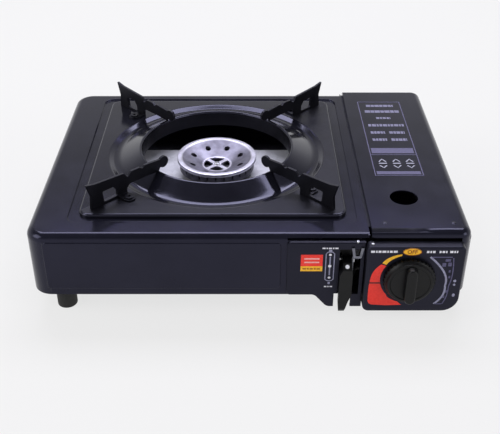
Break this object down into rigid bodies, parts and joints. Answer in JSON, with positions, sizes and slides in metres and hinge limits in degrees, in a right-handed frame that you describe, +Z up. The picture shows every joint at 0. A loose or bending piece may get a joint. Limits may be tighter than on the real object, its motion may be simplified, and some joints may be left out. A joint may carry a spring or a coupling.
{
  "type": "butane cassette stove",
  "caption": "Single-burner table stove with a gas cartridge bay under a hinged lid, lift-out drip pan with trivet fins, turning knob with igniter and a cartridge lock lever.",
  "frame": {"origin": "on the table, under the middle of the stove's bounding box", "axes": "+X to the right along the front, +Y to the back, +Z up"},
  "size_m": [0.344, 0.2764, 0.101],
  "materials": {
    "body_enamel": "baked enamel, satin",
    "panel_enamel": "baked enamel, satin",
    "base_enamel": "baked enamel, satin",
    "pan_enamel": "gloss enamel",
    "trivet_enamel": "gloss enamel",
    "burner_casting": "die cast, turned",
    "zinc_plate": "zinc plated",
    "mixing_tube": "drawn tube",
    "regulator_casting": "die cast, matt",
    "brass": "turned",
    "fastener_steel": "nickel plated",
    "knob_plastic": "moulded, satin",
    "lever_plastic": "moulded, satin",
    "catch_steel": "sprung strip",
    "cam_plastic": "moulded acetal",
    "igniter_plastic": "moulded",
    "plunger_plastic": "moulded",
    "ceramic": "glazed ceramic",
    "lead_jacket": "silicone jacket",
    "foot_rubber": "moulded, matt",
    "seal_rubber": "moulded, matt"
  },
  "bodies": {
    "chassis": {"base_plate": "base_enamel", "bay_bulkhead": "zinc_plate", "bay_tray": "base_enamel", "body_shell": "body_enamel", "bracket_screws": "fastener_steel", "burner_bowl": "burner_casting", "burner_bracket": "zinc_plate", "burner_cap": "burner_casting", "burner_screw": "fastener_steel", "control_panel": "panel_enamel", "cover_screws": "fastener_steel", "diaphragm_cover": "regulator_casting", "electrode": "fastener_steel", "electrode_insulator": "ceramic", "foot_back_left": "foot_rubber", "foot_back_right": "foot_rubber", "foot_front_left": "foot_rubber", "foot_front_right": "foot_rubber", "foot_screws": "fastener_steel", "gas_jet": "brass", "ignition_lead": "lead_jacket", "inlet_fitting": "brass", "inlet_seal": "seal_rubber", "lever_bracket": "zinc_plate", "lever_catch": "catch_steel", "lever_pivot_pin": "fastener_steel", "lid_hinge_brackets": "zinc_plate", "lid_hinge_pins": "fastener_steel", "locating_plate": "zinc_plate", "mixing_tube": "mixing_tube", "panel_screws": "fastener_steel", "partition": "zinc_plate", "piezo_body": "igniter_plastic", "piezo_clip": "zinc_plate", "regulator_body": "regulator_casting", "regulator_screws": "fastener_steel", "slide_guides": "zinc_plate", "valve_cover": "panel_enamel"},
    "lid": {"lid": "body_enamel"},
    "knob": {"knob": "knob_plastic", "valve_spindle": "brass", "spindle_cam": "cam_plastic"},
    "plunger": {"piezo_plunger": "plunger_plastic"},
    "lever": {"lever": "lever_plastic", "lever_drive_pin": "fastener_steel"},
    "pusher": {"pusher_slide": "zinc_plate"},
    "pan": {"drip_pan": "pan_enamel", "fin_front_left": "trivet_enamel", "fin_front_right": "trivet_enamel", "fin_back_left": "trivet_enamel", "fin_back_right": "trivet_enamel", "trivet_rivets": "fastener_steel"}
  },
  "joints": [
    {"name": "lid_hinge", "type": "hinge", "parent": "chassis", "child": "lid", "pos_m": [0.1655, 0, 0.074], "axis": [0, 1, 0], "range_deg": [0, 100]},
    {"name": "knob_turn", "type": "hinge", "parent": "chassis", "child": "knob", "pos_m": [0.1225, -0.125, 0.043], "axis": [0, -1, 0], "range_deg": [0, 120]},
    {"name": "piezo_press", "type": "slide", "parent": "chassis", "child": "plunger", "axis": [-1, 0, 0], "range_m": [0, 0.004]},
    {"name": "lever_lift", "type": "hinge", "parent": "chassis", "child": "lever", "pos_m": [0.073, -0.10875, 0.05], "axis": [-1, 0, 0], "range_deg": [0, 35]},
    {"name": "pusher_travel", "type": "slide", "parent": "chassis", "child": "pusher", "axis": [0, 1, 0], "range_m": [0, 0.0086]},
    {"name": "pan_lift", "type": "slide", "parent": "chassis", "child": "pan", "axis": [0, 0, 1], "range_m": [0, 0.06]}
  ],
  "couplings": [
    {"joint": "knob_turn", "follows": "piezo_press", "rad_per_m": 523.59},
    {"joint": "lever_lift", "follows": "pusher_travel", "rad_per_m": 71}
  ]
}
